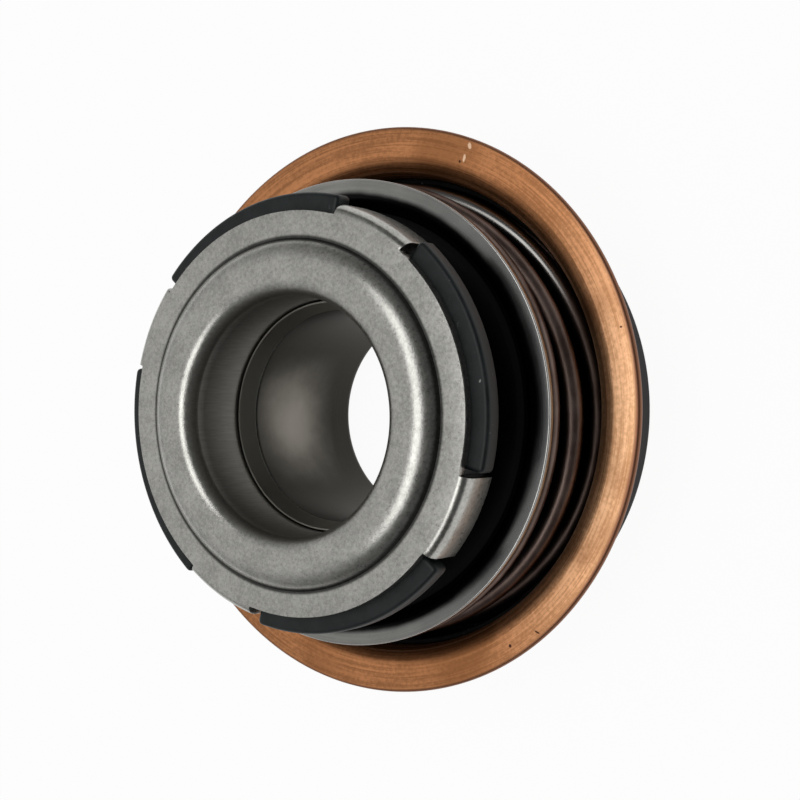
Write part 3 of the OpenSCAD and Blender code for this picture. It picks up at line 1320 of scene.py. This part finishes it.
@dataclass
class Bellows(Piece):
    """The rubber moulding: lining of the case, seat for the spring, folded tube to the shell."""

    lining_out_r: float = 18.42
    lining_in_r: float = 18.0
    rim_z: float = 6.9
    seat_z: float = 1.2
    floor_z: float = 0.63
    corner: float = 0.37
    rim_round: float = 0.12
    slope_share: float = 0.6
    hub_foot_r: float = 14.45
    hub_top_r: float = 12.4
    hub_in_r: float = 9.73
    hub_z: float = 2.68
    hub_skin_z: float = 3.25
    hub_gap: float = 0.15
    wall: float = 0.8
    neck_r: float = 10.13
    fold_w: float = 2.3
    head_z: float = 10.27
    head_in_r: float = 11.73
    head_out_r: float = 15.3
    fold_share: float = 0.28
    fold_bend: float = 0.5
    root_shift: float = 0.5
    head_shift: float = 0.6

    name = "boot"
    nodes = ("bellows",)
    slot = "bellows_rubber"
    body = Body.HOUSING

    def build(self) -> bpy.types.Object:
        """Models the lining and the folded tube.

        Returns:
            The bellows.
        """
        aside = self.slope_share * (self.seat_z - self.floor_z)
        lining = [
            (self.lining_in_r, self.rim_z), (self.lining_in_r, self.seat_z),
            (self.hub_foot_r + aside, self.seat_z), (self.hub_top_r + aside, self.hub_skin_z),
            (self.hub_in_r, self.hub_skin_z), (self.hub_in_r, self.hub_z),
            (self.hub_top_r + self.hub_gap, self.hub_z),
            (self.hub_foot_r + self.hub_gap, self.floor_z),
            (self.lining_out_r, self.floor_z), (self.lining_out_r, self.rim_z),
        ]
        lathe = Lathe()
        lathe.turn(lining, bends={0: self.rim_round, 8: self.corner, 9: self.rim_round})
        half = self.wall / 2
        rise = self.head_z - self.hub_skin_z
        middle = (self.head_z + self.hub_skin_z) / 2
        leg = rise * self.fold_share
        fold_r = self.neck_r + self.fold_w
        # The corners shift a little so that the wall stays even through the folds.
        root, head = half * self.root_shift, half * self.head_shift
        tube = [
            (self.neck_r + half, self.hub_skin_z), (self.neck_r + half, middle - leg + root),
            (fold_r + half, middle), (self.neck_r + self.wall + half, middle + leg),
            (self.head_in_r + head, self.head_z - self.wall),
            (self.head_out_r, self.head_z - self.wall), (self.head_out_r, self.head_z),
            (self.head_in_r - head, self.head_z),
            (self.neck_r + self.wall - half, middle + leg), (fold_r - half, middle),
            (self.neck_r - half, middle - leg - root), (self.neck_r - half, self.hub_skin_z),
        ]
        lathe.turn(tube, bends={corner: self.fold_bend for corner in (1, 2, 3, 8, 9, 10)})
        lathe.weld()
        # The near-black colours and weak specular are partly painted shade of the case's inside.
        finish = MouldedRubber(
            "bellows_rubber", dark=(0.003, 0.003, 0.003), pale=(0.006, 0.006, 0.006), roughness=0.6,
            specular=0.06,
        )
        return self.place(lathe, finish.material())

    def attach(self, piece: bpy.types.Object) -> None:
        """Bakes the moulding's placement into its mesh, and sets it on no body.

        Args:
            piece: The moulding's object.
        """
        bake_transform(piece)


@dataclass
class FlangedCase(Piece):
    """The drawn case with its outward flange and the hub raised over the sleeve's flare."""

    flange_r: float = 22.0
    flange_z: float = 9.3
    body_r: float = 19.05
    sheet: float = 0.6
    flange_bend: float = 1.0
    floor_bend: float = 0.4
    hub_foot_r: float = 14.45
    hub_top_r: float = 12.4
    hub_in_r: float = 9.3
    hub_mid_z: float = 2.35
    hub_bend: float = 0.25
    dish_r: float = 20.0
    easing: float = 0.24

    name = "flanged_case"
    nodes = ("case",)
    slot = "case_copper"
    body = Body.HOUSING

    def build(self) -> bpy.types.Object:
        """Models the case's centre surface and gives it its sheet.

        Returns:
            The case.
        """
        half = self.sheet / 2
        wall = self.body_r - half
        top = self.flange_z - half
        line = [
            (self.flange_r, top), (wall, top), (wall, half), (self.hub_foot_r, half),
            (self.hub_top_r, self.hub_mid_z), (self.hub_in_r, self.hub_mid_z),
        ]
        bends = {
            1: self.flange_bend + half, 2: self.floor_bend + half,
            3: self.hub_bend, 4: self.hub_bend,
        }
        lathe = Lathe()
        lathe.turn(line, closed=False, bends=bends, bend_segments=10)
        lathe.weld()
        finish = TurnedCopper(
            "turned_copper", wall_r=wall, flange_r=self.flange_r, dish_r=self.dish_r,
            face_z=self.flange_z, back_z=self.flange_z - self.sheet,
        )
        return self.place(lathe, finish.material(), self.sheet, self.easing)


class FaceRings:
    """The carbon ring and the mating ring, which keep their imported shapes."""

    def dress(self) -> None:
        """Gives both rings their finishes."""
        finishes = {
            "carbon_ring": DullCeramic("graphite"),
            "seat_ring": DullCeramic("mating_ring", colour=(0.09, 0.09, 0.095), roughness=0.28),
        }
        for node, finish in finishes.items():
            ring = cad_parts[node]
            ring.data.materials.clear()
            ring.data.materials.append(finish.material())
            log.info("%s: dressed", node)


@dataclass
class Studio:
    """Floor, light and camera: a pale table under a soft box, seen from the photograph's place.

    The camera's place and axes are given along the photograph's right, up and the shaft, in
    millimetres from the middle of the flange's face. They were fitted to the photograph's circles.
    """

    flange_z: float = 9.3
    reach: Sequence[float] = (67.5423, 0.5161, 103.6781)
    right: Sequence[float] = (0.820672, -0.006406, -0.571357)
    up: Sequence[float] = (-0.068857, 0.99154, -0.11002)
    back: Sequence[float] = (0.567234, 0.129637, 0.813293)
    photo_turn: float = -62.25
    lens: float = 70.045
    sensor: float = 36.0
    clip: Point = (0.005, 50.0)
    shift: Point = (0.0858, 0.2667)
    floor_half: float = 3.0
    white: float = 0.95
    paint: Colour = (0.9, 0.9, 0.9)
    glow: Colour = (1.0, 1.0, 1.0)
    key_toward: Sequence[float] = (0.09, 0.0, 1.0)
    key_distance: float = 0.45
    key_size: Point = (0.2, 0.62)
    key_watts: float = 0.97
    pale_side: Sequence[float] = (-0.76, 0.0, 0.65)
    sky_stops: Sequence[Point] = (
        (0.0, 0.06), (0.5, 0.09), (0.7, 0.17), (0.87, 0.42), (0.95, 0.66), (0.99, 0.71)
    )

    def _axes(self) -> Matrix:
        """Finds the photograph's directions.

        Returns:
            Its right, up and shaft directions in the seal's frame, as columns.
        """
        a = math.radians(self.photo_turn)
        right = Vector((math.cos(a), math.sin(a), 0.0))
        up = Vector((-math.sin(a), math.cos(a), 0.0))
        return Matrix((right, up, Vector(UP))).transposed()

    def camera(self) -> None:
        """Sets the camera where the photograph was taken from."""
        axes = self._axes()
        data = bpy.data.cameras.new("camera")
        data.lens = self.lens
        data.sensor_width = self.sensor
        data.shift_x, data.shift_y = self.shift
        data.clip_start, data.clip_end = self.clip
        camera = add_object("camera", data)
        turn = Matrix([axes @ Vector(v) for v in (self.right, self.up, self.back)]).transposed()
        spot = axes @ Vector(self.reach) + Vector((0.0, 0.0, self.flange_z))
        camera.matrix_world = Matrix.Translation(spot * MM) @ turn.to_4x4()
        bpy.context.scene.camera = camera

    def key(self) -> None:
        """Hangs the key light, a soft strip that is long along the photograph's up."""
        data = bpy.data.lights.new("key", "AREA")
        data.shape = "RECTANGLE"
        data.size, data.size_y = self.key_size
        data.energy = self.key_watts
        lamp = add_object("key", data)
        axes = self._axes()
        out = (axes @ Vector(self.key_toward)).normalized()
        across = axes.col[1].cross(out).normalized()
        turn = Matrix((across, out.cross(across), out)).transposed()
        lamp.matrix_world = Matrix.Translation(out * self.key_distance) @ turn.to_4x4()

    def sky(self) -> None:
        """Paints the world as a room that is pale on one side."""
        g = Graph("studio", Owner.WORLD)
        side = (self._axes() @ Vector(self.pale_side)).normalized()
        spot = g.node("ShaderNodeTexCoord", output="Generated")
        toward = g.node(
            "ShaderNodeVectorMath", {"operation": "DOT_PRODUCT"}, {0: spot, 1: side}, "Value"
        )
        share = g.node("ShaderNodeMapRange", inputs={"Value": toward, "From Min": -1.0})
        grey = g.node("ShaderNodeValToRGB", {"stops": self.sky_stops}, {0: share})
        g.show(g.node("ShaderNodeBackground", inputs={"Color": grey}))
        bpy.context.scene.world = g.owner
        bpy.context.scene.view_settings.view_transform = "Standard"

    def floor(self) -> None:
        """Lays the pale floor, white where it is seen or reflected, with a faint shadow."""
        bm = bmesh.new()
        bmesh.ops.create_grid(bm, x_segments=1, y_segments=1, size=self.floor_half)
        floor = add_object("floor", finished("floor", bm))
        g = Graph("pale_floor")
        seen = g.node("ShaderNodeLightPath", output="Is Camera Ray")
        seen = seen | g.node("ShaderNodeLightPath", output="Is Glossy Ray")
        seen = seen | g.node("ShaderNodeLightPath", output="Is Transmission Ray")
        paint = g.node("ShaderNodeBsdfDiffuse", inputs={"Color": self.paint})
        glow = g.node("ShaderNodeEmission", inputs={"Color": self.glow, "Strength": 1.0})
        g.show(g.node("ShaderNodeMixShader", inputs={0: seen * self.white, 1: paint, 2: glow}))
        floor.data.materials.append(g.owner)


def main() -> None:
    """Builds the studio and the seal's pieces in order."""
    logging.basicConfig(level=logging.INFO, format="%(name)s %(message)s")
    studio = Studio()
    studio.camera()
    studio.key()
    studio.sky()
    studio.floor()
    for kind in (FlangedCase, Bellows, CoilSpring, RingShell, ShaftSleeve, SeatCup, DriveCollar):
        kind().build()
    FaceRings().dress()
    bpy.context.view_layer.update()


if __name__ == "__main__":
    main()
